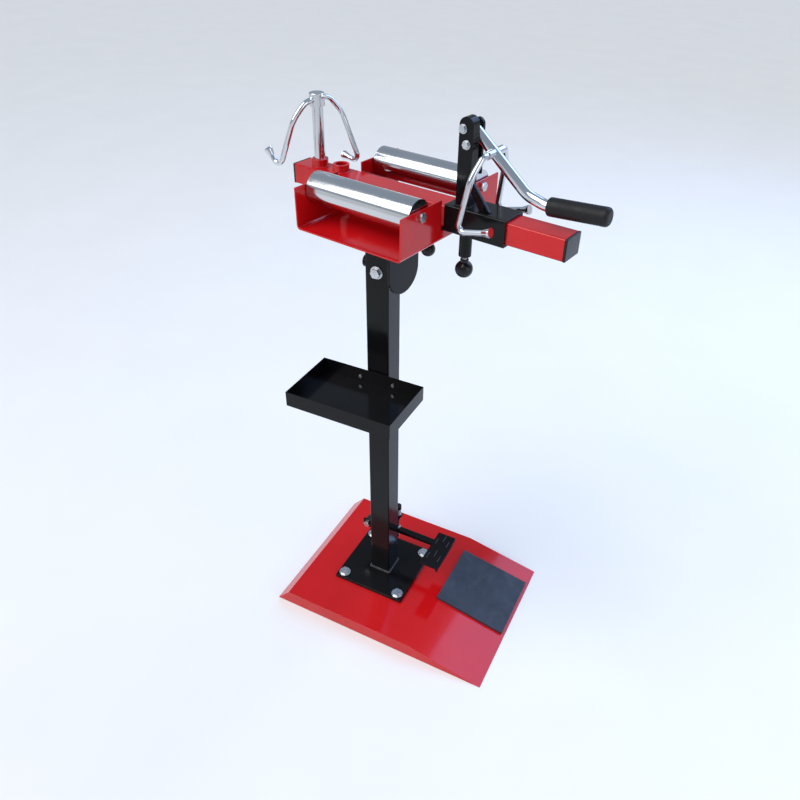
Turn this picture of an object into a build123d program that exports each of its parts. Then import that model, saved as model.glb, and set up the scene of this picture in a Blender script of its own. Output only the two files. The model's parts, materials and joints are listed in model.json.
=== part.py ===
"""Manual pedestal tyre spreader: base, column, tool tray, pedal, swivelling roller head and hooks.

Millimetres. Origin: column axis on the floor. +X: operator's lever side. +Z: up.
"""
import os
from math import atan2, cos, degrees, radians, sin

from build123d import *

os.makedirs("parts", exist_ok=True)

CUT = 1.0                                    # how far a cutter runs past the face it opens
RUNNING = 0.05                               # radial clearance of every turning fit
WASHER_T = 1.5

# ---- base pan -------------------------------------------------------------------------------
BASE_BACK_X, BASE_TOE_X = -217.0, 371.0      # floor outline ends
BASE_TOP_X0, BASE_FOLD_X = -182.0, 173.0     # flat top ends; the ramp starts at the fold
BASE_HALF_W = 204.0
BASE_H = 38.5
SHEET = 3.0                                  # pan sheet thickness
KEEL_X0, KEEL_X1, KEEL_HALF_W, KEEL_LIP = -170.0, 155.0, 27.0, 20.0   # hat section under the column
MAT_X0, MAT_LEN, MAT_Y0, MAT_Y1, MAT_T, MAT_EDGE_R = 3.0, 190.0, -38.0, 148.0, 8.0, 1.0

# ---- column ---------------------------------------------------------------------------------
FOOT_HALF, FOOT_T = 98.0, 10.0
FOOT_BOLT, FOOT_BOLT_R, FOOT_HOLE_R = 80.0, 6.0, 6.5   # bolt position from the axis, both ways
FOOT_BOLT_AF, FOOT_WASHER_R = 22.0, 15.0
COLUMN_W, COLUMN_WALL, COLUMN_TOP = 54.0, 3.0, 985.0
FOOT_TOP = BASE_H + FOOT_T
BUSH_LEN, BUSH_COLLAR_R, BUSH_COLLAR_TOP = 100.0, 30.0, 1030.0
SPINDLE_R, SPINDLE_BOTTOM = 15.0, 880.0
BUSH_BOLT_Z, BUSH_BOLT_R, BUSH_BOLT_AF, BUSH_BOLT_HEAD_H, BUSH_WASHER_R = 940.0, 5.0, 19.0, 8.0, 14.0
BUSH_BOLT_TIP = 18.0                         # inner end of the bush fasteners, clear of the spindle
BUSH_PIN_Y, BUSH_PIN_Z, BUSH_PIN_HEAD_R, BUSH_PIN_HEAD_H, BUSH_PIN_EDGE_R = -13.0, 955.0, 13.0, 8.0, 3.0

# ---- tray -----------------------------------------------------------------------------------
TRAY_X0, TRAY_X1, TRAY_Y0, TRAY_Y1 = -137.0, 115.0, -187.0, -31.0
TRAY_Z0, TRAY_Z1, TRAY_T = 663.0, 698.0, 1.5
TRAY_PLATE_HALF_X, TRAY_PLATE_Z0, TRAY_PLATE_Z1 = 55.0, 664.0, 695.0
TRAY_BOLT_X, TRAY_BOLT_Z, TRAY_BOLT_R = 41.0, 678.0, 2.5

# ---- pedal ----------------------------------------------------------------------------------
PEDAL_PIVOT = (-68.0, 145.0)                 # X, Z
PEDAL_PIN_R, PEDAL_PIN_AF, PEDAL_HEAD_H, PEDAL_NUT_H, PEDAL_EYE_R = 5.0, 16.0, 6.5, 4.0, 10.0
PEDAL_PLATE = (-80.0, 23.0, 133.0, 159.0)    # X and Z limits of the plate the pedal pivots on
PEDAL_PLATE_T, SIDE_GAP = 4.0, 0.5
BAR_NUT_Y = 59.0                             # back face of the pivot nut
BAR_Y0, BAR_Y1, BAR_H = 38.0, 54.0, 10.0
PAD_X0, PAD_X1, PAD_Y0, PAD_Y1, PAD_T = 123.0, 172.0, -37.0, 83.0, 4.0
PAD_LIP, BAR_LAP = 12.0, 8.0                 # folded front lip; how far the bar runs under the pad
STRIP_LEN, STRIP_W, STRIP_H, STRIP_PITCH, STRIP_ROW, STRIP_INSET = 26.0, 3.5, 1.2, 56.0, 15.5, 32.0
ROD_SLOT_L, ROD_SLOT_W = 13.0, 9.2
ROD_X, ROD_Y, ROD_R = 18.0, 46.0, 4.0
ROD_BOTTOM, ROD_TOP, ROD_NUT_AF, ROD_NUT_H, NUT_GAP = 120.0, 236.0, 13.0, 6.5, 1.2
ROD_KNOB_R, ROD_KNOB_H, ROD_KNOB_EDGE_R = 8.0, 14.0, 4.0
GUIDE_X0, GUIDE_Y1, GUIDE_Z, GUIDE_T, GUIDE_FLANGE = 4.0, 56.0, 196.0, 4.0, 16.0
SPRING_R, SPRING_WIRE_R, SPRING_PITCH, SPRING_SEAT = 6.6, 1.1, 4.0, 1.7

# ---- head (turned about the column axis) ----------------------------------------------------
HEAD_YAW = -10.27
SADDLE_TOP, SADDLE_T, SADDLE_HALF = 1052.0, 6.0, 48.0
TONGUE_X, TONGUE_Z = 55.0, 948.0
CRADLE_X0, CRADLE_X1, CRADLE_HALF_Y, CRADLE_TOP, CRADLE_T = -83.0, 163.0, 154.0, 1131.0, 3.0
CRADLE_FOLD_R = 8.0                          # outside radius of the two folds
NOTCH_HALF, NOTCH_Z = 35.0, 1072.0
SEAT_X0, SEAT_X1, SEAT_HALF_W, SEAT_T = -71.0, 151.0, 22.0, 3.0
AXLE_Y, AXLE_Z, AXLE_R, AXLE_AF, AXLE_HEAD_H, AXLE_END = 98.0, 1119.0, 6.0, 16.0, 6.5, 8.0
ROLLER_R, ROLLER_WALL, ROLLER_END, ROLLER_GAP = 30.0, 2.5, 6.0, 2.0
BEAM_X0, BEAM_X1, BEAM_HALF_W, BEAM_Z0, BEAM_Z1, BEAM_WALL = -208.0, 399.0, 25.0, 1077.5, 1117.5, 3.0
CAP_T, CAP_PLUG = 5.0, 12.0
SOCKET_XS, SOCKET_R, SOCKET_H = (-160.0, -104.0), 16.5, 15.0
POST_R, POST_TOP, POST_HEAD_R, POST_HEAD_H = 11.0, 1257.0, 15.0, 24.0
HOOK_ROD_R, HOOK_REACH, HOOK_TIP_R = 5.5, 66.0, 8.5
ARM_BEND_R, ELBOW_BEND_R = 60.0, 12.0
SHOULDER_Y, SHOULDER_GAP = 30.0, 8.0          # where the arm leaves its stub; least distance past the tube
KNEE_OUT, KNEE_DOWN = 0.84, 0.24             # the arm's upper bend, as shares of reach and arm
HOOK_NECK, HOOK_TIP_T, HOOK_STUB = 12.0, 4.0, 1.0
LEFT_HOOK = (138.0, 42.0, 59.0, 28.0)        # arm, finger, fold angle, shoulder bend radius
RIGHT_HOOK = (124.0, 65.0, 67.0, 12.0)
POST_EDGE_R, HOOK_BORE_Y = 2.0, 3.0           # the two hook bores stop short of the post's middle
SET_SCREW_X, SET_SCREW_Z, SET_SCREW_R, SET_SCREW_LEN = -152.0, 1252.0, 3.0, 17.0
SET_SCREW_AF, SET_SCREW_HEAD_H = 8.0, 4.0
LEFT_AXIS_Z, LEFT_SWING = 1245.0, 21.0

# ---- carriage -------------------------------------------------------------------------------
SLEEVE_X0, SLEEVE_X1, SLEEVE_WALL, SLIDE_GAP = 164.0, 290.0, 4.5, 0.5
CHEEK_X0, CHEEK_X1, CHEEK_Y0, CHEEK_Y1, CHEEK_TOP = 182.0, 210.0, -22.0, -2.5, 1275.0
EAR_X0, EAR_X1, EAR_Y0, EAR_Y1, EAR_Z0, EAR_TOP = 182.0, 204.0, 18.5, 24.5, 1172.0, 1266.0
PIVOT_X, PIVOT_Z, STOP_X, STOP_Z, PIN_R = 190.0, 1255.0, 198.0, 1230.0, 5.0
LEVER_Y, LEVER_R, LEVER_WALL, LEVER_BUSH_R, LEVER_BEND_R = 8.0, 10.0, 2.0, 7.5, 60.0
CROSS_X, CROSS_Z = 236.0, 1218.0
LEVER_PATH = ((179.0, 1263.0), (306.0, 1160.0), (342.0, 1150.5), (449.0, 1158.0))
GRIP_LEN, GRIP_R, GRIP_END_T = 108.0, 16.0, 6.0
LOCK_X, LOCK_BOSS_R, LOCK_BOSS_LEN, SCREW_R, KNOB_R = 195.0, 12.0, 50.0, 5.0, 17.0
PIN_WASHER_R, PIN_AF, PIN_HEAD_H = 8.0, 11.0, 4.0
LOCK_SHANK = 16.0                            # screw showing between the boss and the knob
CLAMP_Z, CLAMP_KNOB_X, CLAMP_KNOB_R, TIP_GAP = 1012.0, 103.0, 14.0, 0.4
CLAMP_BOSS_R, CLAMP_BOSS_LEN, KNOB_NECK_R, KNOB_NECK = 10.0, 12.0, 8.0, 3.0
KNOB_SEAT = 0.62                             # how deep the screw ends in its ball, as a share of the radius
STOP_R, CROSS_R, CROSS_HALF, RIGHT_SWING = 3.0, 7.5, 24.0, 9.0
BRACE_Z, BRACE_X, BRACE_W, BRACE_Y0, BRACE_T = 1172.0, 250.0, 21.0, -19.0, 8.0

YAW_C, YAW_S = cos(radians(HEAD_YAW)), sin(radians(HEAD_YAW))
HEAD_X, HEAD_Y = Vector(YAW_C, YAW_S, 0), Vector(-YAW_S, YAW_C, 0)
UP = Vector(0, 0, 1)


def head_pt(x, y, z):
    return HEAD_X * x + HEAD_Y * y + UP * z


def head_top(z):
    """Horizontal plane on the head: local axes are head X and head Y."""
    return Plane(origin=UP * z, x_dir=HEAD_X, z_dir=UP)


def head_side(y):
    """Upright plane along the beam: local axes are head X and Z, normal towards -Y."""
    return Plane(origin=HEAD_Y * y, x_dir=HEAD_X, z_dir=HEAD_Y * -1)


def head_end(x):
    """Upright plane across the beam: local axes are head Y and Z, normal towards +X."""
    return Plane(origin=HEAD_X * x, x_dir=HEAD_Y, z_dir=HEAD_X)


def top(z):
    return Plane.XY.offset(z)


def side(y):
    return Plane(origin=(0, y, 0), x_dir=(1, 0, 0), z_dir=(0, -1, 0))


def end(x):
    return Plane(origin=(x, 0, 0), x_dir=(0, 1, 0), z_dir=(1, 0, 0))


def disc(plane, centre, radius, length, mode=Mode.ADD):
    """Round bar (or hole) starting on a plane and running along its normal."""
    with BuildSketch(plane) as profile:
        with Locations(centre):
            Circle(radius)
    extrude(profile.sketch, amount=length, mode=mode)


def box(plane, x0, x1, y0, y1, length, mode=Mode.ADD):
    """Rectangular block starting on a plane, between local limits."""
    with BuildSketch(plane) as profile:
        with Locations(((x0 + x1) / 2, (y0 + y1) / 2)):
            Rectangle(x1 - x0, y1 - y0)
    extrude(profile.sketch, amount=length, mode=mode)


def hexagon(plane, centre, across_flats, height):
    with BuildSketch(plane) as profile:
        with Locations(centre):
            RegularPolygon(across_flats / 2, 6, major_radius=False)
    extrude(profile.sketch, amount=height)


def bolt(plane, back, centre, radius, shank, nut=True, washer_r=0.0, head_af=None):
    """Hex bolt whose head stands on `plane`; the shank runs back to a nut on `back`."""
    af = head_af or 3.2 * radius
    disc(back, centre, radius, -shank, Mode.ADD)
    hexagon(plane, centre, af, 1.2 * radius)
    if washer_r:
        disc(plane, centre, washer_r, 1.8)
    if nut:
        hexagon(back, centre, af, -1.3 * radius)


# ============================================================================ base
with BuildPart() as base_pan:
    with BuildSketch(side(0)):
        with BuildLine():
            Polyline((BASE_BACK_X, 0), (BASE_TOP_X0, BASE_H), (BASE_FOLD_X, BASE_H), (BASE_TOE_X, 0),
                     close=True)
        make_face()
    extrude(amount=BASE_HALF_W, both=True)
    with BuildSketch(side(0)):
        with BuildLine():
            toe_run = (BASE_TOE_X - BASE_FOLD_X) / BASE_H * SHEET
            Polyline((BASE_BACK_X + 2 * SHEET, -1), (BASE_TOP_X0 + SHEET, BASE_H - SHEET),
                     (BASE_FOLD_X - SHEET / 4, BASE_H - SHEET), (BASE_TOE_X - toe_run, 0),
                     (BASE_TOE_X - toe_run, -1), close=True)
        make_face()
    extrude(amount=BASE_HALF_W - SHEET, both=True, mode=Mode.SUBTRACT)
    with BuildSketch(top(BASE_H)):
        with GridLocations(2 * FOOT_BOLT, 2 * FOOT_BOLT, 2, 2):
            Circle(FOOT_HOLE_R)
    extrude(amount=-SHEET, mode=Mode.SUBTRACT)
base_pan.part.label = "base_pan"
export_step(base_pan.part, "parts/base_pan.step")

with BuildPart() as base_keel:
    with BuildSketch(end(KEEL_X0)):
        with BuildLine():
            outer_y, roof = KEEL_HALF_W, BASE_H - SHEET
            Polyline((-outer_y - KEEL_LIP, roof), (-outer_y, roof), (-outer_y, SHEET), (outer_y, SHEET),
                     (outer_y, roof), (outer_y + KEEL_LIP, roof), (outer_y + KEEL_LIP, roof - SHEET),
                     (outer_y + SHEET, roof - SHEET), (outer_y + SHEET, 0), (-outer_y - SHEET, 0),
                     (-outer_y - SHEET, roof - SHEET), (-outer_y - KEEL_LIP, roof - SHEET), close=True)
        make_face()
    extrude(amount=KEEL_X1 - KEEL_X0)
base_keel.part.label = "base_keel"
export_step(base_keel.part, "parts/base_keel.step")

ramp_angle = degrees(atan2(BASE_H, BASE_TOE_X - BASE_FOLD_X))
ramp = Plane(origin=(BASE_FOLD_X, 0, BASE_H), x_dir=(cos(radians(ramp_angle)), 0, -sin(radians(ramp_angle))),
             z_dir=(sin(radians(ramp_angle)), 0, cos(radians(ramp_angle))))
with BuildPart() as foot_mat:
    box(ramp, MAT_X0, MAT_X0 + MAT_LEN, MAT_Y0, MAT_Y1, MAT_T)
    fillet(foot_mat.edges().filter_by(Plane.XZ, reverse=True).group_by(Axis.Z)[-1], MAT_EDGE_R)
foot_mat.part.label = "foot_mat"
export_step(foot_mat.part, "parts/foot_mat.step")

# ============================================================================ column
with BuildPart() as foot_plate:
    box(top(BASE_H), -FOOT_HALF, FOOT_HALF, -FOOT_HALF, FOOT_HALF, FOOT_T)
    with BuildSketch(top(FOOT_TOP)):
        with GridLocations(2 * FOOT_BOLT, 2 * FOOT_BOLT, 2, 2):
            Circle(FOOT_HOLE_R)
    extrude(amount=-FOOT_T, mode=Mode.SUBTRACT)
foot_plate.part.label = "foot_plate"
export_step(foot_plate.part, "parts/foot_plate.step")

with BuildPart() as foot_bolts:
    for sx in (-1, 1):
        for sy in (-1, 1):
            bolt(top(FOOT_TOP), top(BASE_H - SHEET), (sx * FOOT_BOLT, sy * FOOT_BOLT), FOOT_BOLT_R,
                 -(FOOT_T + SHEET), washer_r=FOOT_WASHER_R, head_af=FOOT_BOLT_AF)
foot_bolts.part.label = "foot_bolts"
export_step(foot_bolts.part, "parts/foot_bolts.step")

with BuildPart() as column:
    with BuildSketch(top(FOOT_TOP)):
        RectangleRounded(COLUMN_W, COLUMN_W, COLUMN_WALL)
        Rectangle(COLUMN_W - 2 * COLUMN_WALL, COLUMN_W - 2 * COLUMN_WALL, mode=Mode.SUBTRACT)
    extrude(amount=COLUMN_TOP - FOOT_TOP)
    disc(side(0), (0, BUSH_BOLT_Z), BUSH_BOLT_R, COLUMN_W, Mode.SUBTRACT)
    disc(end(0), (BUSH_PIN_Y, BUSH_PIN_Z), BUSH_BOLT_R, -COLUMN_W, Mode.SUBTRACT)
column.part.label = "column"
export_step(column.part, "parts/column.step")

with BuildPart() as top_bush:
    bush_w = COLUMN_W - 2 * COLUMN_WALL
    box(top(COLUMN_TOP - BUSH_LEN), -bush_w / 2, bush_w / 2, -bush_w / 2, bush_w / 2, BUSH_LEN)
    disc(top(COLUMN_TOP), (0, 0), BUSH_COLLAR_R, BUSH_COLLAR_TOP - COLUMN_TOP)
    disc(top(COLUMN_TOP - BUSH_LEN), (0, 0), SPINDLE_R + RUNNING, BUSH_COLLAR_TOP, Mode.SUBTRACT)
    disc(side(CUT - BUSH_BOLT_TIP), (0, BUSH_BOLT_Z), BUSH_BOLT_R, COLUMN_W, Mode.SUBTRACT)
    disc(end(CUT - BUSH_BOLT_TIP), (BUSH_PIN_Y, BUSH_PIN_Z), BUSH_BOLT_R, -COLUMN_W, Mode.SUBTRACT)
top_bush.part.label = "top_bush"
export_step(top_bush.part, "parts/top_bush.step")

with BuildPart() as bush_bolt:
    disc(side(-BUSH_BOLT_TIP), (0, BUSH_BOLT_Z), BUSH_BOLT_R, COLUMN_W / 2 - BUSH_BOLT_TIP)
    disc(side(-COLUMN_W / 2), (0, BUSH_BOLT_Z), BUSH_WASHER_R, WASHER_T)
    hexagon(side(-COLUMN_W / 2 - WASHER_T), (0, BUSH_BOLT_Z), BUSH_BOLT_AF, BUSH_BOLT_HEAD_H)
bush_bolt.part.label = "bush_bolt"
export_step(bush_bolt.part, "parts/bush_bolt.step")

with BuildPart() as bush_pin:
    disc(end(-BUSH_BOLT_TIP), (BUSH_PIN_Y, BUSH_PIN_Z), BUSH_BOLT_R, BUSH_BOLT_TIP - COLUMN_W / 2)
    disc(end(-COLUMN_W / 2), (BUSH_PIN_Y, BUSH_PIN_Z), BUSH_PIN_HEAD_R, -BUSH_PIN_HEAD_H)
    fillet(bush_pin.edges().group_by(Axis.X)[0], BUSH_PIN_EDGE_R)
bush_pin.part.label = "bush_pin"
export_step(bush_pin.part, "parts/bush_pin.step")

# ============================================================================ tool tray
with BuildPart() as tray_bracket:
    box(side(-COLUMN_W / 2), -TRAY_PLATE_HALF_X, TRAY_PLATE_HALF_X, TRAY_PLATE_Z0, TRAY_PLATE_Z1,
        -TRAY_Y1 - COLUMN_W / 2)
    with BuildSketch(side(-COLUMN_W / 2)):
        with Locations((-TRAY_BOLT_X, TRAY_BOLT_Z), (TRAY_BOLT_X, TRAY_BOLT_Z)):
            Circle(TRAY_BOLT_R)
    extrude(amount=COLUMN_W, mode=Mode.SUBTRACT)
tray_bracket.part.label = "tray_bracket"
export_step(tray_bracket.part, "parts/tray_bracket.step")

with BuildPart() as tray:
    box(top(TRAY_Z0), TRAY_X0, TRAY_X1, TRAY_Y0, TRAY_Y1, TRAY_Z1 - TRAY_Z0)
    box(top(TRAY_Z0 + TRAY_T), TRAY_X0 + TRAY_T, TRAY_X1 - TRAY_T, TRAY_Y0 + TRAY_T, TRAY_Y1 - TRAY_T,
        TRAY_Z1, Mode.SUBTRACT)
    with BuildSketch(side(TRAY_Y1 + CUT)):
        with Locations((-TRAY_BOLT_X, TRAY_BOLT_Z), (TRAY_BOLT_X, TRAY_BOLT_Z)):
            Circle(TRAY_BOLT_R)
    extrude(amount=TRAY_T + 2 * CUT, mode=Mode.SUBTRACT)
tray.part.label = "tray"
export_step(tray.part, "parts/tray.step")

with BuildPart() as tray_bolts:
    for sx in (-1, 1):
        bolt(side(TRAY_Y1 - TRAY_T), side(-COLUMN_W / 2), (sx * TRAY_BOLT_X, TRAY_BOLT_Z), TRAY_BOLT_R,
             -(-TRAY_Y1 - COLUMN_W / 2 + TRAY_T))
tray_bolts.part.label = "tray_bolts"
export_step(tray_bolts.part, "parts/tray_bolts.step")

# ============================================================================ pedal
pivot_x, pivot_z = PEDAL_PIVOT
with BuildPart() as pedal_bracket:
    box(side(COLUMN_W / 2), *PEDAL_PLATE, -PEDAL_PLATE_T)
    disc(side(COLUMN_W / 2), (pivot_x, pivot_z), PEDAL_PIN_R, -PEDAL_PLATE_T, Mode.SUBTRACT)
pedal_bracket.part.label = "pedal_bracket"
export_step(pedal_bracket.part, "parts/pedal_bracket.step")

with BuildPart() as rod_guide:
    box(side(COLUMN_W / 2), GUIDE_X0, COLUMN_W / 2, GUIDE_Z - GUIDE_FLANGE, GUIDE_Z + GUIDE_T, -GUIDE_T)
    box(top(GUIDE_Z), GUIDE_X0, COLUMN_W / 2, COLUMN_W / 2, GUIDE_Y1, GUIDE_T)
    disc(top(GUIDE_Z), (ROD_X, ROD_Y), ROD_R + RUNNING, GUIDE_T, Mode.SUBTRACT)
rod_guide.part.label = "rod_guide"
export_step(rod_guide.part, "parts/rod_guide.step")

with BuildPart() as pedal_pin:
    disc(side(COLUMN_W / 2), (pivot_x, pivot_z), PEDAL_PIN_R, COLUMN_W / 2 - BAR_NUT_Y)
    hexagon(side(COLUMN_W / 2), (pivot_x, pivot_z), PEDAL_PIN_AF, PEDAL_HEAD_H)
    disc(side(COLUMN_W / 2 + PEDAL_PLATE_T), (pivot_x, pivot_z), PEDAL_PIN_AF / 2,
         -(BAR_Y0 - COLUMN_W / 2 - PEDAL_PLATE_T - SIDE_GAP))
    hexagon(side(BAR_NUT_Y), (pivot_x, pivot_z), PEDAL_PIN_AF, PEDAL_NUT_H)
pedal_pin.part.label = "pedal_pin"
export_step(pedal_pin.part, "parts/pedal_pin.step")

with BuildPart() as pedal:
    box(top(pivot_z - BAR_H / 2), pivot_x - PEDAL_EYE_R, PAD_X0 + BAR_LAP, BAR_Y0, BAR_Y1, BAR_H)
    disc(side(BAR_Y0), (pivot_x, pivot_z), PEDAL_EYE_R, -(BAR_Y1 - BAR_Y0))
    box(top(pivot_z + BAR_H / 2 - PAD_T), PAD_X0, PAD_X1, PAD_Y0, PAD_Y1, PAD_T)
    box(top(pivot_z + BAR_H / 2 - PAD_LIP), PAD_X1 - PAD_T, PAD_X1, PAD_Y0, PAD_Y1, PAD_LIP)
    with BuildSketch(top(pivot_z + BAR_H / 2)):
        pad_x, strip_y = (PAD_X0 + PAD_X1) / 2, PAD_Y0 + STRIP_INSET
        for row, shift in ((-1, 0), (0, STRIP_PITCH / 4), (1, 0)):
            for pair in range(2):
                with Locations((pad_x + row * STRIP_ROW, strip_y + STRIP_PITCH * pair + shift)):
                    SlotOverall(STRIP_LEN, STRIP_W, rotation=90)
    extrude(amount=STRIP_H)
    disc(side(BAR_Y0), (pivot_x, pivot_z), PEDAL_PIN_R + RUNNING, -(BAR_Y1 - BAR_Y0), Mode.SUBTRACT)
    with BuildSketch(top(pivot_z - BAR_H)):
        with Locations((ROD_X, ROD_Y)):
            SlotOverall(ROD_SLOT_L, ROD_SLOT_W)
    extrude(amount=2 * BAR_H, mode=Mode.SUBTRACT)
pedal.part.label = "pedal"
export_step(pedal.part, "parts/pedal.step")

with BuildPart() as return_rod:
    disc(top(ROD_BOTTOM), (ROD_X, ROD_Y), ROD_R, ROD_TOP - ROD_BOTTOM)
    for nut_z in (pivot_z - BAR_H / 2 - NUT_GAP - ROD_NUT_H, pivot_z + BAR_H / 2 + NUT_GAP,
                  GUIDE_Z - SIDE_GAP - ROD_NUT_H):
        hexagon(top(nut_z), (ROD_X, ROD_Y), ROD_NUT_AF, ROD_NUT_H)
return_rod.part.label = "return_rod"
export_step(return_rod.part, "parts/return_rod.step")

knob_bottom = ROD_TOP - ROD_KNOB_H + 2
with BuildPart() as rod_knob:
    disc(top(knob_bottom), (ROD_X, ROD_Y), ROD_KNOB_R, ROD_KNOB_H)
    fillet(rod_knob.edges().group_by(Axis.Z)[-1], ROD_KNOB_EDGE_R)
    disc(top(knob_bottom), (ROD_X, ROD_Y), ROD_R, ROD_TOP - knob_bottom, Mode.SUBTRACT)
rod_knob.part.label = "rod_knob"
export_step(rod_knob.part, "parts/rod_knob.step")

with BuildPart() as return_spring:
    with BuildLine() as coil:
        Helix(pitch=SPRING_PITCH, height=knob_bottom - GUIDE_Z - GUIDE_T - 2 * SPRING_SEAT, radius=SPRING_R,
              center=(ROD_X, ROD_Y, GUIDE_Z + GUIDE_T + SPRING_SEAT))
    with BuildSketch(Plane(origin=coil.line @ 0, z_dir=coil.line % 0)):
        Circle(SPRING_WIRE_R)
    sweep(path=coil.line, is_frenet=True)
return_spring.part.label = "return_spring"
export_step(return_spring.part, "parts/return_spring.step")

# ============================================================================ head frame
with BuildPart() as spindle:
    flange_z = BUSH_COLLAR_TOP + SIDE_GAP
    disc(head_top(SPINDLE_BOTTOM), (0, 0), SPINDLE_R, flange_z + CUT - SPINDLE_BOTTOM)
    disc(head_top(flange_z), (0, 0), BUSH_COLLAR_R, SADDLE_TOP - SADDLE_T - flange_z)
spindle.part.label = "spindle"
export_step(spindle.part, "parts/spindle.step")

with BuildPart() as saddle:
    web_z = SADDLE_TOP - SADDLE_T
    box(head_top(web_z), -TONGUE_X, TONGUE_X, -SADDLE_HALF, SADDLE_HALF, SADDLE_T)
    with BuildSketch(head_end(TONGUE_X)):
        with Locations((0, (TONGUE_Z + SADDLE_TOP) / 2)):
            Rectangle(2 * SADDLE_HALF, SADDLE_TOP - TONGUE_Z)
        with Locations((0, TONGUE_Z)):
            Circle(SADDLE_HALF)
    extrude(amount=-SADDLE_T)
    disc(head_end(TONGUE_X), (0, CLAMP_Z), CLAMP_BOSS_R, CLAMP_BOSS_LEN)
    disc(head_end(TONGUE_X - SADDLE_T), (0, CLAMP_Z), SCREW_R + RUNNING, SADDLE_T + CLAMP_BOSS_LEN,
         Mode.SUBTRACT)
saddle.part.label = "saddle"
export_step(saddle.part, "parts/saddle.step")

def folded_channel(inset, mode):
    """Channel block with rounded lower corners, `inset` inside the cradle's outer skin."""
    x0, x1, z0 = CRADLE_X0 + inset, CRADLE_X1 - inset, SADDLE_TOP + inset
    with BuildSketch(head_side(0)) as section:
        with Locations(((x0 + x1) / 2, (z0 + CRADLE_TOP) / 2)):
            Rectangle(x1 - x0, CRADLE_TOP - z0)
        fillet(section.vertices().group_by(Axis.Y)[0], CRADLE_FOLD_R - inset)
    extrude(section.sketch, amount=CRADLE_HALF_Y, both=True, mode=mode)


with BuildPart() as cradle:
    folded_channel(0, Mode.ADD)
    folded_channel(CRADLE_T, Mode.SUBTRACT)
    with BuildSketch(head_end(CRADLE_X0)):
        with Locations((0, (NOTCH_Z + CRADLE_TOP) / 2)):
            Rectangle(2 * NOTCH_HALF, CRADLE_TOP - NOTCH_Z)
        with Locations((-AXLE_Y, AXLE_Z), (AXLE_Y, AXLE_Z)):
            Circle(AXLE_R)
    extrude(amount=CRADLE_X1 - CRADLE_X0, mode=Mode.SUBTRACT)
cradle.part.label = "cradle"
export_step(cradle.part, "parts/cradle.step")

with BuildPart() as beam_seat:
    seat_z, inner_y = SADDLE_TOP + CRADLE_T, SEAT_HALF_W - SEAT_T
    box(head_top(seat_z), SEAT_X0, SEAT_X1, -SEAT_HALF_W, SEAT_HALF_W, BEAM_Z0 - seat_z)
    box(head_top(seat_z), SEAT_X0, SEAT_X1, -inner_y, inner_y, BEAM_Z0 - seat_z - SEAT_T, Mode.SUBTRACT)
beam_seat.part.label = "beam_seat"
export_step(beam_seat.part, "parts/beam_seat.step")

with BuildPart() as beam:
    with BuildSketch(head_end(BEAM_X0)):
        with Locations((0, (BEAM_Z0 + BEAM_Z1) / 2)):
            RectangleRounded(2 * BEAM_HALF_W, BEAM_Z1 - BEAM_Z0, BEAM_WALL)
            Rectangle(2 * (BEAM_HALF_W - BEAM_WALL), BEAM_Z1 - BEAM_Z0 - 2 * BEAM_WALL, mode=Mode.SUBTRACT)
    extrude(amount=BEAM_X1 - BEAM_X0)
    with BuildSketch(head_top(BEAM_Z1)):
        with Locations(*[(x, 0) for x in SOCKET_XS]):
            Circle(POST_R + RUNNING)
    extrude(amount=-BEAM_WALL, mode=Mode.SUBTRACT)
beam.part.label = "beam"
export_step(beam.part, "parts/beam.step")

inner_y, plug_z0, plug_z1 = BEAM_HALF_W - BEAM_WALL, BEAM_Z0 + BEAM_WALL, BEAM_Z1 - BEAM_WALL
for name, x, outward in (("beam_end_cap", BEAM_X1, 1), ("beam_tail_cap", BEAM_X0, -1)):
    with BuildPart() as cap:
        box(head_end(x), -BEAM_HALF_W, BEAM_HALF_W, BEAM_Z0, BEAM_Z1, outward * CAP_T)
        box(head_end(x), -inner_y, inner_y, plug_z0, plug_z1, -outward * CAP_PLUG)
    cap.part.label = name
    export_step(cap.part, f"parts/{name}.step")

with BuildPart() as sockets:
    for x in SOCKET_XS:
        disc(head_top(BEAM_Z1), (x, 0), SOCKET_R, SOCKET_H)
        disc(head_top(BEAM_Z1), (x, 0), POST_R + RUNNING, SOCKET_H, Mode.SUBTRACT)
sockets.part.label = "sockets"
export_step(sockets.part, "parts/sockets.step")


# ============================================================================ rollers
for name, y in (("front", -AXLE_Y), ("rear", AXLE_Y)):
    with BuildPart() as axle:
        disc(head_end(CRADLE_X0 - AXLE_END), (y, AXLE_Z), AXLE_R, CRADLE_X1 - CRADLE_X0 + AXLE_END)
        hexagon(head_end(CRADLE_X1), (y, AXLE_Z), AXLE_AF, AXLE_HEAD_H)
        hexagon(head_end(CRADLE_X0), (y, AXLE_Z), AXLE_AF, -AXLE_HEAD_H)
    axle.part.label = f"axle_{name}"
    export_step(axle.part, f"parts/axle_{name}.step")

    with BuildPart() as roller:
        roller_x0, roller_x1 = CRADLE_X0 + CRADLE_T + ROLLER_GAP, CRADLE_X1 - CRADLE_T - ROLLER_GAP
        disc(head_end(roller_x0), (y, AXLE_Z), ROLLER_R, roller_x1 - roller_x0)
        disc(head_end(roller_x0 + ROLLER_END), (y, AXLE_Z), ROLLER_R - ROLLER_WALL,
             roller_x1 - roller_x0 - 2 * ROLLER_END, Mode.SUBTRACT)
        disc(head_end(roller_x0), (y, AXLE_Z), AXLE_R + RUNNING, roller_x1 - roller_x0, Mode.SUBTRACT)
    roller.part.label = f"roller_{name}"
    export_step(roller.part, f"parts/roller_{name}.step")


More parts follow.
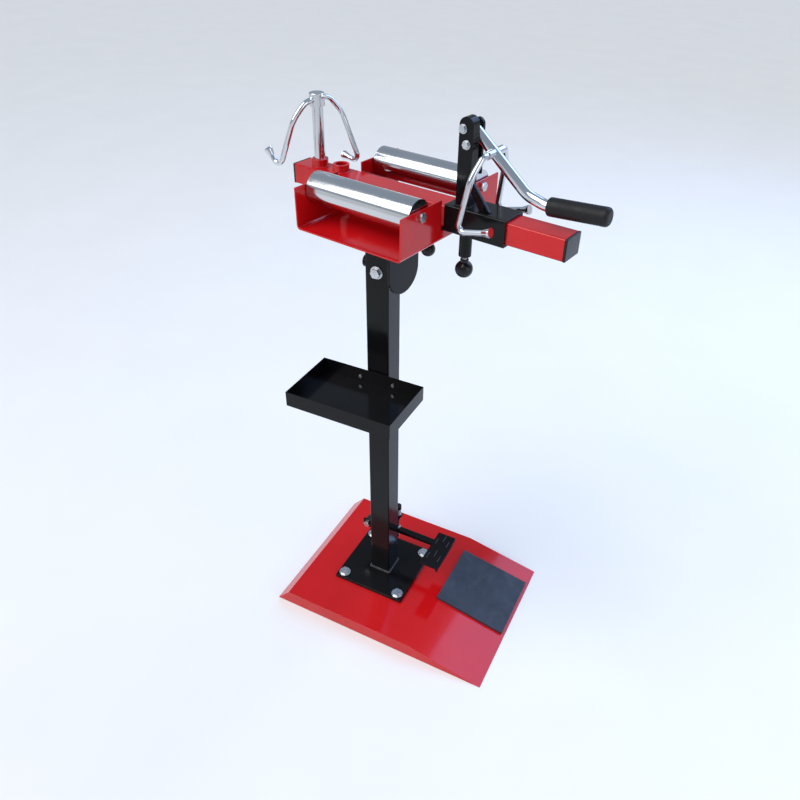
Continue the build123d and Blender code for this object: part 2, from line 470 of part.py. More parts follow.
# ============================================================================ hooks
def hook_points(bend, axis_x, axis_z, side_sign, reach_sign, swing, centre_y, stub_y):
    """Centreline of a bent hook: stub, arm and finger, swung about the stub's axis."""
    def turned(dx, dz):
        a = radians(swing)
        return axis_x + dx * cos(a) - dz * sin(a), axis_z + dx * sin(a) + dz * cos(a)

    (arm, finger, fold, _), reach = bend, HOOK_REACH
    inner = side_sign * centre_y + stub_y
    shoulder = max(SHOULDER_Y, side_sign * centre_y + CROSS_HALF + SHOULDER_GAP)
    local = ((inner, 0, 0), (shoulder, 0, 0), (KNEE_OUT * reach, 0, -KNEE_DOWN * arm), (reach, 0, -arm),
             (reach, reach_sign * finger * sin(radians(fold)), -arm + finger * cos(radians(fold))))
    points = []
    for y, dx, dz in local:
        x, z = turned(dx, dz)
        points.append(head_pt(x, side_sign * y, z))
    return points


def hook(name, bend, *layout):
    points = hook_points(bend, *layout)
    with BuildPart() as rod:
        with BuildLine() as path:
            FilletPolyline(*points, radius=(bend[-1], ARM_BEND_R, ELBOW_BEND_R))
        with BuildSketch(Plane(origin=points[0], z_dir=points[1] - points[0])):
            Circle(HOOK_ROD_R)
        sweep(path=path.line)
        tip_dir = (points[-1] - points[-2]).normalized()
        with BuildSketch(Plane(origin=points[-1] - tip_dir * HOOK_NECK, z_dir=tip_dir)):
            Circle(HOOK_ROD_R)
        with BuildSketch(Plane(origin=points[-1], z_dir=tip_dir)):
            Circle(HOOK_TIP_R)
        loft()
        with BuildSketch(Plane(origin=points[-1], z_dir=tip_dir)):
            Circle(HOOK_TIP_R)
        extrude(amount=HOOK_TIP_T)
    rod.part.label = name
    export_step(rod.part, f"parts/{name}.step")


POST_X, post_foot_z = SOCKET_XS[0], BEAM_Z0 + BEAM_WALL + TIP_GAP
with BuildPart() as left_post:
    disc(head_top(post_foot_z), (POST_X, 0), POST_R, POST_TOP - post_foot_z)
    disc(head_top(POST_TOP - POST_HEAD_H), (POST_X, 0), POST_HEAD_R, POST_HEAD_H)
    fillet(left_post.edges().group_by(Axis.Z)[-1], POST_EDGE_R)
    for s in (-1, 1):
        disc(head_side(s * HOOK_BORE_Y), (POST_X, LEFT_AXIS_Z), HOOK_ROD_R + RUNNING, -s * POST_HEAD_R,
             Mode.SUBTRACT)
    disc(head_end(SET_SCREW_X), (0, SET_SCREW_Z), SET_SCREW_R, POST_HEAD_R, Mode.SUBTRACT)
left_post.part.label = "left_post"
export_step(left_post.part, "parts/left_post.step")

with BuildPart() as post_screw:
    disc(head_end(SET_SCREW_X), (0, SET_SCREW_Z), SET_SCREW_R, SET_SCREW_LEN)
    hexagon(head_end(POST_X + POST_HEAD_R), (0, SET_SCREW_Z), SET_SCREW_AF, SET_SCREW_HEAD_H)
post_screw.part.label = "post_screw"
export_step(post_screw.part, "parts/post_screw.step")

hook("left_hook_front", LEFT_HOOK, POST_X, LEFT_AXIS_Z, -1, -1, -LEFT_SWING, 0, HOOK_BORE_Y + SIDE_GAP)
hook("left_hook_rear", LEFT_HOOK, POST_X, LEFT_AXIS_Z, 1, -1, LEFT_SWING, 0, HOOK_BORE_Y + SIDE_GAP)

# ============================================================================ carriage
sleeve_y, sleeve_z0 = BEAM_HALF_W + SLIDE_GAP + SLEEVE_WALL, BEAM_Z0 - SLIDE_GAP - SLEEVE_WALL
sleeve_z1 = BEAM_Z1 + SLIDE_GAP + SLEEVE_WALL
with BuildPart() as sleeve:
    box(head_end(SLEEVE_X0), -sleeve_y, sleeve_y, sleeve_z0, sleeve_z1, SLEEVE_X1 - SLEEVE_X0)
    fillet(sleeve.edges().filter_by(Axis(head_pt(0, 0, 0), HEAD_X)), BEAM_WALL)
    box(head_end(SLEEVE_X0), -BEAM_HALF_W - SLIDE_GAP, BEAM_HALF_W + SLIDE_GAP, BEAM_Z0 - SLIDE_GAP,
        BEAM_Z1 + SLIDE_GAP, SLEEVE_X1 - SLEEVE_X0, Mode.SUBTRACT)
    disc(head_top(sleeve_z0), (LOCK_X, 0), LOCK_BOSS_R, -LOCK_BOSS_LEN)
    disc(head_top(sleeve_z0 - LOCK_BOSS_LEN), (LOCK_X, 0), SCREW_R + RUNNING, LOCK_BOSS_LEN + SLEEVE_WALL,
         Mode.SUBTRACT)
sleeve.part.label = "sleeve"
export_step(sleeve.part, "parts/sleeve.step")


def lever_bores(y, thickness):
    """Pivot and stop bolt holes through an upright plate."""
    disc(head_side(y), (PIVOT_X, PIVOT_Z), PIN_R, -thickness, Mode.SUBTRACT)
    disc(head_side(y), (STOP_X, STOP_Z), STOP_R, -thickness, Mode.SUBTRACT)


def upright(y0, y1, x0, x1, z0, z1):
    """Upright bar with a rounded top, between two Y limits."""
    half = (x1 - x0) / 2
    box(head_side(y0), x0, x1, z0, z1 - half, -(y1 - y0))
    disc(head_side(y0), ((x0 + x1) / 2, z1 - half), half, -(y1 - y0))


with BuildPart() as cheek:
    upright(CHEEK_Y0, CHEEK_Y1, CHEEK_X0, CHEEK_X1, sleeve_z1, CHEEK_TOP)
    lever_bores(CHEEK_Y0, CHEEK_Y1 - CHEEK_Y0)
cheek.part.label = "cheek"
export_step(cheek.part, "parts/cheek.step")

with BuildPart() as ear:
    upright(EAR_Y0, EAR_Y1, EAR_X0, EAR_X1, EAR_Z0, EAR_TOP)
    lever_bores(EAR_Y0, EAR_Y1 - EAR_Y0)
ear.part.label = "ear"
export_step(ear.part, "parts/ear.step")

with BuildPart() as cheek_brace:
    with BuildSketch(head_side(BRACE_Y0)):
        with BuildLine():
            Polyline((CHEEK_X1, BRACE_Z), (BRACE_X, sleeve_z1), (BRACE_X - BRACE_W, sleeve_z1),
                     (CHEEK_X1, BRACE_Z - BRACE_W), close=True)
        make_face()
    extrude(amount=-BRACE_T)
cheek_brace.part.label = "cheek_brace"
export_step(cheek_brace.part, "parts/cheek_brace.step")

for label, x, z, r in (("lever_pivot", PIVOT_X, PIVOT_Z, PIN_R), ("lever_stop", STOP_X, STOP_Z, STOP_R)):
    with BuildPart() as pin:
        disc(head_side(EAR_Y1), (x, z), r, EAR_Y1 - CHEEK_Y0)
        disc(head_side(CHEEK_Y0), (x, z), PIN_WASHER_R, WASHER_T)
        hexagon(head_side(CHEEK_Y0 - WASHER_T), (x, z), PIN_AF, PIN_HEAD_H)
        hexagon(head_side(EAR_Y1), (x, z), PIN_AF, -PIN_HEAD_H)
    pin.part.label = label
    export_step(pin.part, f"parts/{label}.step")

with BuildPart() as lever:
    with BuildLine() as lever_path:
        FilletPolyline(*[head_pt(x, LEVER_Y, z) for x, z in LEVER_PATH], radius=LEVER_BEND_R)
    with BuildSketch(Plane(origin=lever_path.line @ 0, z_dir=lever_path.line % 0)):
        Circle(LEVER_R)
        Circle(LEVER_R - LEVER_WALL, mode=Mode.SUBTRACT)
    sweep(path=lever_path.line)
    bush_half = LEVER_R - SIDE_GAP
    disc(head_side(LEVER_Y + bush_half), (PIVOT_X, PIVOT_Z), LEVER_BUSH_R, 2 * bush_half)
    disc(head_side(LEVER_Y + LEVER_R), (PIVOT_X, PIVOT_Z), PIN_R + RUNNING, 2 * LEVER_R, Mode.SUBTRACT)
    disc(head_side(LEVER_Y + LEVER_R), (CROSS_X, CROSS_Z), CROSS_R, 2 * LEVER_R, Mode.SUBTRACT)
lever.part.label = "lever"
export_step(lever.part, "parts/lever.step")

with BuildPart() as cross_tube:
    disc(head_side(LEVER_Y + CROSS_HALF), (CROSS_X, CROSS_Z), CROSS_R, 2 * CROSS_HALF)
    disc(head_side(LEVER_Y + CROSS_HALF), (CROSS_X, CROSS_Z), HOOK_ROD_R + RUNNING, 2 * CROSS_HALF,
         Mode.SUBTRACT)
cross_tube.part.label = "cross_tube"
export_step(cross_tube.part, "parts/cross_tube.step")

(bend_x, bend_z), (tip_x, tip_z) = LEVER_PATH[-2:]
grip_dir = (head_pt(tip_x, LEVER_Y, tip_z) - head_pt(bend_x, LEVER_Y, bend_z)).normalized()
grip_end = head_pt(tip_x, LEVER_Y, tip_z) + grip_dir * GRIP_END_T
grip_plane = Plane(origin=grip_end - grip_dir * GRIP_LEN, x_dir=HEAD_Y, z_dir=grip_dir)
with BuildPart() as lever_grip:
    disc(grip_plane, (0, 0), GRIP_R, GRIP_LEN)
    fillet(lever_grip.edges().filter_by(GeomType.CIRCLE), GRIP_END_T)
    disc(grip_plane, (0, 0), LEVER_R, GRIP_LEN - GRIP_END_T, Mode.SUBTRACT)
lever_grip.part.label = "lever_grip"
export_step(lever_grip.part, "parts/lever_grip.step")

hook("right_hook_front", RIGHT_HOOK, CROSS_X, CROSS_Z, -1, 1, -RIGHT_SWING, LEVER_Y, HOOK_STUB)
hook("right_hook_rear", RIGHT_HOOK, CROSS_X, CROSS_Z, 1, 1, -RIGHT_SWING, LEVER_Y, HOOK_STUB)


# ============================================================================ hand screws
def hand_screw(name, plane, tip, shank, knob_r):
    """Round screw with a ball knob: starts at `tip` on a plane and runs along its normal."""
    knob_name = name.replace("screw", "knob")
    with BuildPart() as screw:
        disc(plane, tip, SCREW_R, shank)
    screw.part.label = name
    export_step(screw.part, f"parts/{name}.step")
    middle = shank + KNOB_SEAT * knob_r
    with BuildPart() as knob:
        with BuildSketch(Plane(origin=plane.from_local_coords((tip[0], tip[1], middle)), x_dir=plane.x_dir,
                               z_dir=plane.y_dir)):
            Circle(knob_r)
            with Locations((-knob_r, 0)):
                Rectangle(2 * knob_r, 4 * knob_r, mode=Mode.SUBTRACT)
        revolve(axis=Axis(plane.from_local_coords((tip[0], tip[1], 0)), plane.z_dir))
        neck_start = middle - knob_r - KNOB_NECK
        disc(plane.offset(neck_start), tip, KNOB_NECK_R, knob_r)
        disc(plane.offset(neck_start), tip, SCREW_R, shank - neck_start, Mode.SUBTRACT)
    knob.part.label = knob_name
    export_step(knob.part, f"parts/{knob_name}.step")


lock_tip = BEAM_Z0 - TIP_GAP
hand_screw("lock_screw", Plane(origin=UP * lock_tip, x_dir=HEAD_X, z_dir=UP * -1), (LOCK_X, 0),
           lock_tip - sleeve_z0 + LOCK_BOSS_LEN + LOCK_SHANK, KNOB_R)
clamp_tip = BUSH_COLLAR_R + TIP_GAP
hand_screw("clamp_screw", head_end(clamp_tip), (0, CLAMP_Z), CLAMP_KNOB_X - clamp_tip, CLAMP_KNOB_R)
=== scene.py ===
import json
from math import cos, pi, radians, sin

import bmesh
import bpy
from mathutils import Matrix, Vector


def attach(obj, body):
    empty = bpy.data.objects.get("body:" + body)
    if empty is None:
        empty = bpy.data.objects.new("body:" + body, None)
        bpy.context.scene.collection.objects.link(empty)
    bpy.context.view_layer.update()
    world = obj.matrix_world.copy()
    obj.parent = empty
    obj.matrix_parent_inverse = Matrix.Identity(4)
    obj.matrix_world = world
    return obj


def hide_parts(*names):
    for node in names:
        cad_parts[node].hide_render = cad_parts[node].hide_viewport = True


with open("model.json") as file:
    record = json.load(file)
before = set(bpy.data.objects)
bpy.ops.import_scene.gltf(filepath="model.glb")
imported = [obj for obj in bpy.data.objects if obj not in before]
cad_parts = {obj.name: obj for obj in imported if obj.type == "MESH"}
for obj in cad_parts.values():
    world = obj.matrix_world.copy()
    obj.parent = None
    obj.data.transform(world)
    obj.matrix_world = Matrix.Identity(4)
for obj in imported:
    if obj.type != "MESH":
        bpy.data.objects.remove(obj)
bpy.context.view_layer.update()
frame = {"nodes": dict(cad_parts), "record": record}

MM = 0.001
HEAD_YAW = radians(-10.27)
HEAD = Matrix.Rotation(HEAD_YAW, 3, "Z")


def head(x, y, z):
    """A point of the turned head, given in its own axes in millimetres."""
    return HEAD @ Vector((x, y, z)) * MM


def stand(x, y, z):
    return Vector((x, y, z)) * MM


# ------------------------------------------------------------------ materials
def new_material(name):
    mat = bpy.data.materials.new(name)
    mat.use_nodes = True
    nodes = mat.node_tree.nodes
    return mat, nodes, mat.node_tree.links, nodes["Principled BSDF"]


def noise(nodes, links, scale, detail=3.0, stretch=None):
    """Object-space noise; `stretch` scales its axes to draw it out into streaks."""
    coord = nodes.new("ShaderNodeTexCoord")
    tex = nodes.new("ShaderNodeTexNoise")
    tex.inputs["Scale"].default_value = scale
    tex.inputs["Detail"].default_value = detail
    source = coord.outputs["Object"]
    if stretch:
        mapping = nodes.new("ShaderNodeMapping")
        mapping.inputs["Rotation"].default_value = (0, 0, -HEAD_YAW)
        mapping.inputs["Scale"].default_value = stretch
        mapping.vector_type = "TEXTURE"
        links.new(source, mapping.inputs["Vector"])
        source = mapping.outputs["Vector"]
    links.new(source, tex.inputs["Vector"])
    return tex.outputs["Fac"]


def ramp(nodes, links, fac, stops):
    node = nodes.new("ShaderNodeValToRGB")
    while len(node.color_ramp.elements) < len(stops):
        node.color_ramp.elements.new(0.5)
    for element, (place, value) in zip(node.color_ramp.elements, stops):
        element.position = place
        element.color = (*value, 1) if isinstance(value, tuple) else (value, value, value, 1)
    links.new(fac, node.inputs["Fac"])
    return node.outputs["Color"]


def bump(nodes, links, height, strength, distance):
    node = nodes.new("ShaderNodeBump")
    node.inputs["Strength"].default_value = strength
    node.inputs["Distance"].default_value = distance
    links.new(height, node.inputs["Height"])
    return node.outputs["Normal"]


def surface(name, dark, light, rough, metallic=0.0, tint_scale=6.0, rough_scale=30.0,
            grain=(220.0, 0.15, 0.0004), coat=0.0, coat_rough=0.05, wear=None, stretch=None, specular=0.5):
    """A material whose colour, roughness and relief each come from their own noise."""
    mat, nodes, links, shader = new_material(name)
    shader.inputs["Metallic"].default_value = metallic
    shader.inputs["Coat Weight"].default_value = coat
    shader.inputs["Coat Roughness"].default_value = coat_rough
    shader.inputs["Specular IOR Level"].default_value = specular
    colour = ramp(nodes, links, noise(nodes, links, tint_scale, 5.0), ((0.3, dark), (0.7, light)))
    if wear:
        wear_colour, wear_scale, low, high = wear
        mask = ramp(nodes, links, noise(nodes, links, wear_scale, 8.0), ((low, 0.0), (high, 1.0)))
        mix = nodes.new("ShaderNodeMix")
        mix.data_type = "RGBA"
        links.new(mask, mix.inputs["Factor"])
        links.new(colour, mix.inputs["A"])
        mix.inputs["B"].default_value = (*wear_colour, 1)
        colour = mix.outputs["Result"]
    links.new(colour, shader.inputs["Base Color"])
    sheen = noise(nodes, links, rough_scale, 6.0, stretch)
    links.new(ramp(nodes, links, sheen, ((0.3, rough[0]), (0.7, rough[1]))), shader.inputs["Roughness"])
    scale, strength, distance = grain
    links.new(bump(nodes, links, noise(nodes, links, scale, 2.0, stretch), strength, distance),
              shader.inputs["Normal"])
    return mat


RED = surface("red_enamel", (0.47, 0.003, 0.005), (0.54, 0.006, 0.008), (0.10, 0.17),
              grain=(150.0, 0.06, 0.0003), coat=0.20, coat_rough=0.04, specular=0.30,
              wear=((0.34, 0.01, 0.01), 420.0, 0.74, 0.82))
BLACK = surface("black_enamel", (0.0025, 0.0025, 0.003), (0.006, 0.006, 0.007), (0.12, 0.22),
                grain=(170.0, 0.10, 0.0004), coat=0.05, coat_rough=0.05, specular=0.16,
                wear=((0.03, 0.03, 0.03), 380.0, 0.74, 0.84))
CHROME = surface("chrome", (0.58, 0.60, 0.63), (0.68, 0.69, 0.71), (0.04, 0.11), metallic=1.0,
                 grain=(500.0, 0.04, 0.0002), rough_scale=60.0)
ROLLER = surface("roller_chrome", (0.56, 0.57, 0.59), (0.64, 0.65, 0.66), (0.09, 0.17), metallic=1.0,
                 grain=(900.0, 0.05, 0.0002), rough_scale=90.0, stretch=(0.25, 4.0, 4.0))
ZINC = surface("zinc_plate", (0.46, 0.48, 0.51), (0.62, 0.64, 0.66), (0.22, 0.38), metallic=1.0,
               tint_scale=90.0, rough_scale=300.0, grain=(700.0, 0.12, 0.0003))
STEEL = surface("machined_steel", (0.40, 0.41, 0.42), (0.52, 0.53, 0.54), (0.28, 0.45), metallic=1.0,
                tint_scale=40.0, rough_scale=200.0, grain=(600.0, 0.15, 0.0003))
MAT_RUBBER = surface("mat_rubber", (0.020, 0.026, 0.040), (0.030, 0.040, 0.062), (0.42, 0.60),
                     tint_scale=10.0, rough_scale=50.0, grain=(420.0, 0.30, 0.0010), specular=0.35,
                     wear=((0.045, 0.055, 0.078), 26.0, 0.54, 0.86))
GRIP_RUBBER = surface("grip_rubber", (0.005, 0.005, 0.006), (0.011, 0.011, 0.012), (0.42, 0.60),
                      grain=(900.0, 0.30, 0.0006), specular=0.25)
# Grey lighter than the black enamel; on the column's foot weld this lighter grey is a painted glint.
WEAR_AND_GLINT_BLACK = surface("wear_and_glint_black", (0.018, 0.019, 0.021), (0.060, 0.062, 0.068), (0.22, 0.40),
                     tint_scale=160.0, grain=(260.0, 0.20, 0.0004), specular=0.4)
PLASTIC = surface("black_plastic", (0.004, 0.004, 0.005), (0.009, 0.009, 0.010), (0.14, 0.24),
                  grain=(800.0, 0.10, 0.0003), specular=0.30)

LOOK = {
    "red_paint": RED, "black_paint": BLACK, "chrome": CHROME, "zinc": ZINC, "rubber": MAT_RUBBER,
    "black_plastic": PLASTIC, "machined_steel": STEEL,
}
SPECIAL = {"roller_front": ROLLER, "roller_rear": ROLLER, "lever_grip": GRIP_RUBBER}
slot_of = {s["node"]: s["material_slot"] for s in frame["record"]["subparts"]}


def look_of(node):
    return SPECIAL.get(node) or LOOK[slot_of[node]]


def shade(obj, angle):
    for poly in obj.data.polygons:
        poly.use_smooth = True
    obj.data.set_sharp_from_angle(angle=radians(angle))


def finish_piece(obj, body, mat, slot, *nodes):
    obj.data.materials.clear()
    obj.data.materials.append(mat)
    if nodes:
        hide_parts(*nodes)
    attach(obj, body)


body_of_node = {n: b for b, nodes in frame["record"]["behaviour"]["bodies"].items() for n in nodes}


# ------------------------------------------------------------------ CAD pieces with softened edges
BEVEL_SEGMENTS, BEVEL_ANGLE = 2, radians(30.0)
WELD_DISTANCE, FLAT_ANGLE = 1e-6, radians(0.6)


def softened(node, width):
    """A copy of a CAD piece with its sharp edges rounded over, standing in for the piece."""
    source = frame["nodes"][node]
    mesh = source.data.copy()
    bm = bmesh.new()
    bm.from_mesh(mesh)
    bmesh.ops.remove_doubles(bm, verts=bm.verts, dist=WELD_DISTANCE)
    bmesh.ops.dissolve_limit(bm, angle_limit=FLAT_ANGLE, verts=bm.verts, edges=bm.edges)
    bm.to_mesh(mesh)
    bm.free()
    obj = bpy.data.objects.new(f"{node}_soft", mesh)
    bpy.context.collection.objects.link(obj)
    for poly in mesh.polygons:
        poly.use_smooth = True
    bevel = obj.modifiers.new("soft_edges", "BEVEL")
    bevel.width = width * MM
    bevel.segments = BEVEL_SEGMENTS
    bevel.limit_method = "ANGLE"
    bevel.angle_limit = BEVEL_ANGLE
    flat = obj.modifiers.new("flat_faces", "WEIGHTED_NORMAL")
    flat.keep_sharp = True
    dg = bpy.context.evaluated_depsgraph_get()
    rounded = bpy.data.meshes.new_from_object(obj.evaluated_get(dg))
    obj.modifiers.clear()
    obj.data = rounded
    finish_piece(obj, body_of_node[node], look_of(node), slot_of[node], node)


for obj_name, obj in frame["nodes"].items():
    obj.data.materials.clear()
    obj.data.materials.append(look_of(obj_name))

SOFT_EDGES = {
    1.6: ("base_pan", "cradle", "sleeve"),
    1.2: ("beam_end_cap", "beam_tail_cap"),
    1.0: ("foot_plate", "tray_bracket", "pedal_bracket", "saddle", "cheek", "ear", "cheek_brace", "rod_guide",
          "beam_seat", "pedal"),
    0.6: ("base_keel", "foot_bolts", "bush_bolt", "tray_bolts", "pedal_pin", "axle_front", "axle_rear",
          "lever_pivot", "lever_stop", "post_screw", "return_rod", "sockets", "bush_pin", "left_post", "tray",
          "cross_tube"),
    3.0: ("foot_mat",),
}
for width, names in SOFT_EDGES.items():
    for node in names:
        softened(node, width)


# ------------------------------------------------------------------ detail pieces
def mesh_piece(name, verts, faces, mat, body, slot, *nodes, angle):
    mesh = bpy.data.meshes.new(name)
    mesh.from_pydata(verts, [], faces)
    mesh.validate()
    obj = bpy.data.objects.new(name, mesh)
    bpy.context.collection.objects.link(obj)
    bm = bmesh.new()
    bm.from_mesh(mesh)
    bmesh.ops.recalc_face_normals(bm, faces=bm.faces)
    bm.to_mesh(mesh)
    bm.free()
    shade(obj, angle)
    finish_piece(obj, body, mat, slot, *nodes)


def swept(name, path, radius_at, mat, body, slot, *nodes, sides=14, closed=False, angle=60.0):
    """A tube along `path`; radius_at(step, turn) gives its radius, so it can carry ripples or threads."""
    count = len(path)
    verts, faces = [], []
    side = None
    for i, here in enumerate(path):
        before = path[(i - 1) % count] if closed or i else path[0]
        after = path[(i + 1) % count] if closed or i < count - 1 else path[-1]
        along = (after - before).normalized()
        if side is None:
            side = along.orthogonal().normalized()
        side = (side - along * side.dot(along)).normalized()
        other = along.cross(side)
        for k in range(sides):
            turn = 2 * pi * k / sides
            verts.append(here + (side * cos(turn) + other * sin(turn)) * radius_at(i, turn))
    rings = count if closed else count - 1
    for i in range(rings):
        for k in range(sides):
            a, b = i * sides + k, i * sides + (k + 1) % sides
            c, d = (i + 1) % count * sides + (k + 1) % sides, (i + 1) % count * sides + k
            faces.append((a, b, c, d))
    if not closed:
        faces.append(tuple(range(sides)))
        faces.append(tuple(range((count - 1) * sides, count * sides)))
    mesh_piece(name, verts, faces, mat, body, slot, *nodes, angle=angle)


RIPPLE_MM = 2.6


def weld(name, corners, radius, mat, body, slot, closed=True):
    """A weld bead along a run of corners, rippled along its length."""
    path = []
    last = len(corners) if closed else len(corners) - 1
    for i in range(last):
        a, b = corners[i], corners[(i + 1) % len(corners)]
        steps = max(2, round((b - a).length / (RIPPLE_MM * MM / 4)))
        path += [a.lerp(b, k / steps) for k in range(steps)]
    if not closed:
        path.append(corners[-1])

    def radius_at(i, turn):
        return radius * MM * (0.92 + 0.14 * abs(sin(i * pi / 4)))

    swept(name, path, radius_at, mat, body, slot, sides=10, closed=closed)


def ring(centre, radius, place, count=28):
    """Points of a circle about the upright, placed by `place`."""
    return [place(centre[0] + radius * cos(2 * pi * k / count), centre[1] + radius * sin(2 * pi * k / count),
                  centre[2]) for k in range(count)]


def ring_across(centre, radius, place, count=28):
    """Points of a circle about head X."""
    return [place(centre[0], centre[1] + radius * cos(2 * pi * k / count),
                  centre[2] + radius * sin(2 * pi * k / count)) for k in range(count)]


# Surfaces the beads lie on, in millimetres: plate tops, tube faces and axes of the parts they join.
WELD_Z, COLUMN_HALF = 49.0, 27
BEAM_WELD_Z, SOCKET_X = 1117.7, (-160, -104)
SLEEVE_WELD_Z, SLEEVE_UNDER_Z = 1122.8, 1072.3
LOCK_X, CLAMP_Z, CLAMP_FACE_X = 195, 1012, 55.3
SEAT_WELD_Y, SEAT_WELD_Z, SEAT_X = 22.3, 1055.6, (-70, 150)

column_corners = ((1, -1), (1, 1), (-1, 1), (-1, -1))
# The foot weld's lighter grey material is a painted glint.
weld("column_weld", [stand(x * COLUMN_HALF, y * COLUMN_HALF, WELD_Z) for x, y in column_corners],
     4.2, WEAR_AND_GLINT_BLACK, "stand", "black_paint")
for k, x in enumerate(SOCKET_X):
    weld(f"socket_weld_{k}", ring((x, 0, BEAM_WELD_Z), 16.8, head), 2.0, RED, "head", "red_paint")
weld("brace_weld", [head(250, y, SLEEVE_WELD_Z) for y in (-19, -11)], 1.8, BLACK, "carriage",
     "black_paint", closed=False)
weld("cheek_weld", [head(x, y, SLEEVE_WELD_Z) for x, y in ((182, -22), (210, -22), (210, -2.5), (182, -2.5))],
     2.4, BLACK, "carriage", "black_paint")
weld("boss_weld", ring((LOCK_X, 0, SLEEVE_UNDER_Z), 12.2, head), 2.2, BLACK, "carriage", "black_paint")
weld("clamp_boss_weld", ring_across((CLAMP_FACE_X, 0, CLAMP_Z), 10.2, head), 1.8, BLACK, "head",
     "black_paint")
for k, y in enumerate((-SEAT_WELD_Y, SEAT_WELD_Y)):
    weld(f"seat_weld_{k}", [head(x, y, SEAT_WELD_Z) for x in SEAT_X], 2.0, RED, "head", "red_paint",
         closed=False)

# Raised strips on the pedal pad: three rows of two, the middle row staggered.
STRIP_Z, STRIP_HALF, STRIP_STEPS, STRIP_RADIUS = 151.1, 11.0, 4, 0.9
STRIP_FIRST_Y, STRIP_PITCH_Y = -5.0, 56.0
STRIP_ROWS = ((132.0, 0.0), (147.5, 14.0), (163.0, 0.0))
for row, (x, shift) in enumerate(STRIP_ROWS):
    for pair in range(2):
        mid = STRIP_FIRST_Y + STRIP_PITCH_Y * pair + shift
        strip = [stand(x, mid + STRIP_HALF * k / STRIP_STEPS, STRIP_Z)
                 for k in range(-STRIP_STEPS, STRIP_STEPS + 1)]
        swept(f"tread_{row}_{pair}", strip, lambda i, turn: STRIP_RADIUS * MM, WEAR_AND_GLINT_BLACK, "pedal",
              "black_paint")


def threaded(name, start, along, length, radius, pitch, mat, body, slot, *nodes):
    """A round bar with a helical thread, chamfered at its start."""
    steps = round(length / (pitch / 6))
    path = [start + along * (length * MM * i / steps) for i in range(steps + 1)]

    def radius_at(i, turn):
        travel = length * i / steps
        phase = (travel / pitch - turn / (2 * pi)) % 1.0
        lead_in = min(1.0, 0.80 + travel / 12)
        return (radius - 0.55 * abs(2 * phase - 1)) * lead_in * MM

    swept(name, path, radius_at, mat, body, slot, *nodes, sides=24, angle=80.0)


threaded("lock_thread", head(LOCK_X, 0, 1077.1), Vector((0, 0, -1)), 69, 5.0, 2.0, STEEL, "lock_screw",
         "machined_steel", "lock_screw")
threaded("rod_thread", stand(18, 46, 119.6), Vector((0, 0, 1)), 50, 4.1, 1.25, ZINC, "rod", "zinc")
threaded("clamp_thread", head(30.4, 0, CLAMP_Z), HEAD @ Vector((1, 0, 0)), 72, 5.0, 2.0, STEEL, "clamp_screw",
         "machined_steel", "clamp_screw")


def lathed(name, base, along, profile, mat, body, slot, *nodes, sides=48):
    """A turned shape: profile is (distance along, radius) in millimetres from `base`."""
    across = along.orthogonal().normalized()
    other = along.cross(across)
    verts, faces = [], []
    for dist, radius in profile:
        for k in range(sides):
            turn = 2 * pi * k / sides
            verts.append(base + along * dist * MM + (across * cos(turn) + other * sin(turn)) * radius * MM)
    for i in range(len(profile) - 1):
        for k in range(sides):
            a, b = i * sides + k, i * sides + (k + 1) % sides
            faces.append((a, b, b + sides, a + sides))
    faces.append(tuple(range(sides)))
    faces.append(tuple(range((len(profile) - 1) * sides, len(profile) * sides)))
    mesh_piece(name, verts, faces, mat, body, slot, *nodes, angle=35.0)


# Rubber grip: a mouth, a run of shallow grooves and a rounded end, on the lever's last straight.
GRIP_PATH = (head(342, 8, 1150.5), head(449, 8, 1158))
GRIP_LEN, GRIP_OVERHANG = 108, 6
GRIP_MOUTH = [(0, 12.0), (0.4, 14.2), (1.6, 15.4), (4.0, 15.8)]
GRIP_END = [(97.0, 16.0), (102.0, 15.9), (105.0, 15.0), (107.0, 13.0), (107.8, 10.0), (108.0, 6.0)]
GROOVES, FIRST_GROOVE, GROOVE_PITCH = 17, 7.0, 5.2
GROOVE = ((0.0, 15.9), (0.8, 15.65), (1.8, 15.65), (2.6, 15.9))

grip_along = (GRIP_PATH[1] - GRIP_PATH[0]).normalized()
grip_start = GRIP_PATH[1] + grip_along * (GRIP_OVERHANG - GRIP_LEN) * MM
grooves = [(FIRST_GROOVE + GROOVE_PITCH * k + along, radius) for k in range(GROOVES)
           for along, radius in GROOVE]
grip_profile = GRIP_MOUTH + grooves + GRIP_END
lathed("grip_sleeve", grip_start, grip_along, grip_profile, GRIP_RUBBER, "lever", "rubber", "lever_grip")

# ------------------------------------------------------------------ floor, light, camera
bpy.ops.mesh.primitive_plane_add(size=60, location=(0, 0, -0.0005))
floor = bpy.context.object
floor.name = "floor"
floor_mat, nodes, links, shader = new_material("pale_floor")
shader.inputs["Roughness"].default_value = 0.8
pale = ramp(nodes, links, noise(nodes, links, 3.0), ((0.3, 0.80), (0.7, 0.82)))
links.new(pale, shader.inputs["Base Color"])
floor.data.materials.append(floor_mat)

scene = bpy.context.scene
scene.view_settings.view_transform = "Standard"
world = bpy.data.worlds.new("studio")
scene.world = world
world.use_nodes = True
nodes, links = world.node_tree.nodes, world.node_tree.links
coord = nodes.new("ShaderNodeTexCoord")
split = nodes.new("ShaderNodeSeparateXYZ")
links.new(coord.outputs["Generated"], split.inputs["Vector"])
sky = ramp(nodes, links, split.outputs["Z"], ((0.02, (0.80, 0.83, 0.87)), (0.14, (0.36, 0.41, 0.48)),
                                             (0.65, (0.34, 0.40, 0.49))))
links.new(sky, nodes["Background"].inputs["Color"])


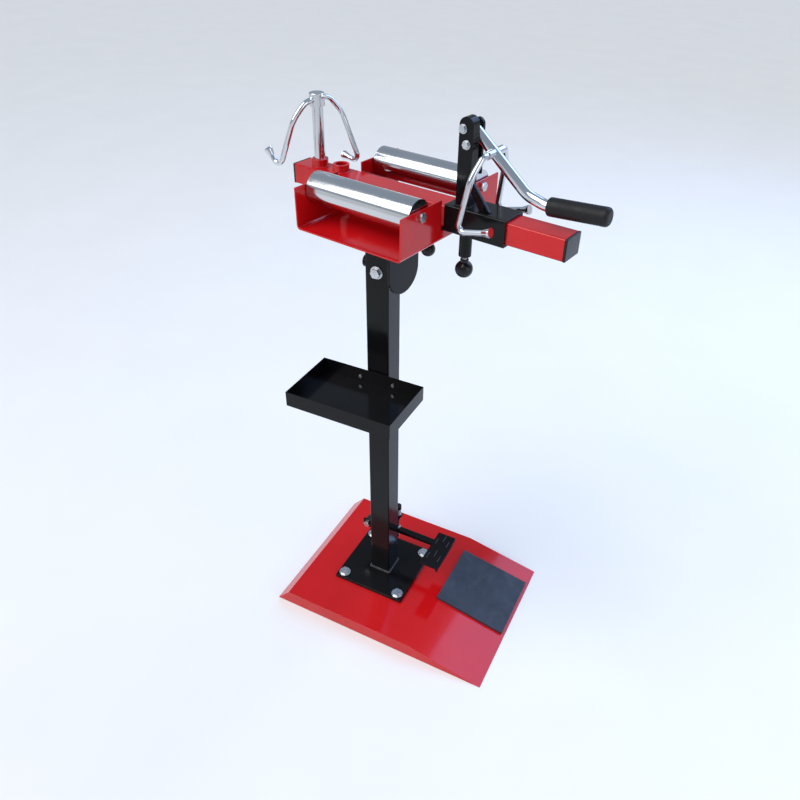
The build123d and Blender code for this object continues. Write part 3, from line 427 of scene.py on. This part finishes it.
def area_light(name, place, target, size, power, colour=(1, 1, 1)):
    data = bpy.data.lights.new(name, "AREA")
    data.shape = "RECTANGLE"
    data.size, data.size_y = size
    data.energy = power
    data.color = colour
    light = bpy.data.objects.new(name, data)
    bpy.context.collection.objects.link(light)
    light.location = place
    light.rotation_mode = "QUATERNION"
    light.rotation_quaternion = (Vector(target) - Vector(place)).to_track_quat("-Z", "Y")


area_light("key", (-2.2, -2.6, 3.4), (0, 0, 0.7), (2.4, 2.4), 50)
area_light("fill", (3.4, -0.8, 2.0), (0, 0, 0.6), (2.0, 3.0), 25)
area_light("sky_panel", (1.35, 2.4, 3.0), (0.27, 0, 0.02), (2.1, 2.6), 60, (0.36, 0.56, 1.0))
sun = bpy.data.objects.new("overcast", bpy.data.lights.new("overcast", "SUN"))
sun.data.energy = 1.8
sun.data.color = (1.0, 0.97, 0.93)
sun.data.angle = radians(50)
sun.rotation_euler = (radians(28), radians(-22), 0)
bpy.context.collection.objects.link(sun)

CAMERA_PLACE = (0.6534, -1.20005, 1.5938)
CAMERA_AZ, CAMERA_EL, CAMERA_ROLL = radians(26.98), radians(35.91), radians(0.59)
FOCAL_PX, FRAME_PX, SENSOR_MM = 725.42, 800, 36.0
back = Vector((sin(CAMERA_AZ) * cos(CAMERA_EL), -cos(CAMERA_AZ) * cos(CAMERA_EL), sin(CAMERA_EL)))
right = Vector((cos(CAMERA_AZ), sin(CAMERA_AZ), 0))
up = back.cross(right)
cam_x = right * cos(CAMERA_ROLL) + up * sin(CAMERA_ROLL)
cam_y = up * cos(CAMERA_ROLL) - right * sin(CAMERA_ROLL)
cam_data = bpy.data.cameras.new("camera")
cam_data.sensor_width = SENSOR_MM
cam_data.lens = FOCAL_PX / FRAME_PX * SENSOR_MM
camera = bpy.data.objects.new("camera", cam_data)
bpy.context.collection.objects.link(camera)
camera.matrix_world = Matrix.Translation(CAMERA_PLACE) @ Matrix((cam_x, cam_y, back)).transposed().to_4x4()
bpy.context.scene.camera = camera
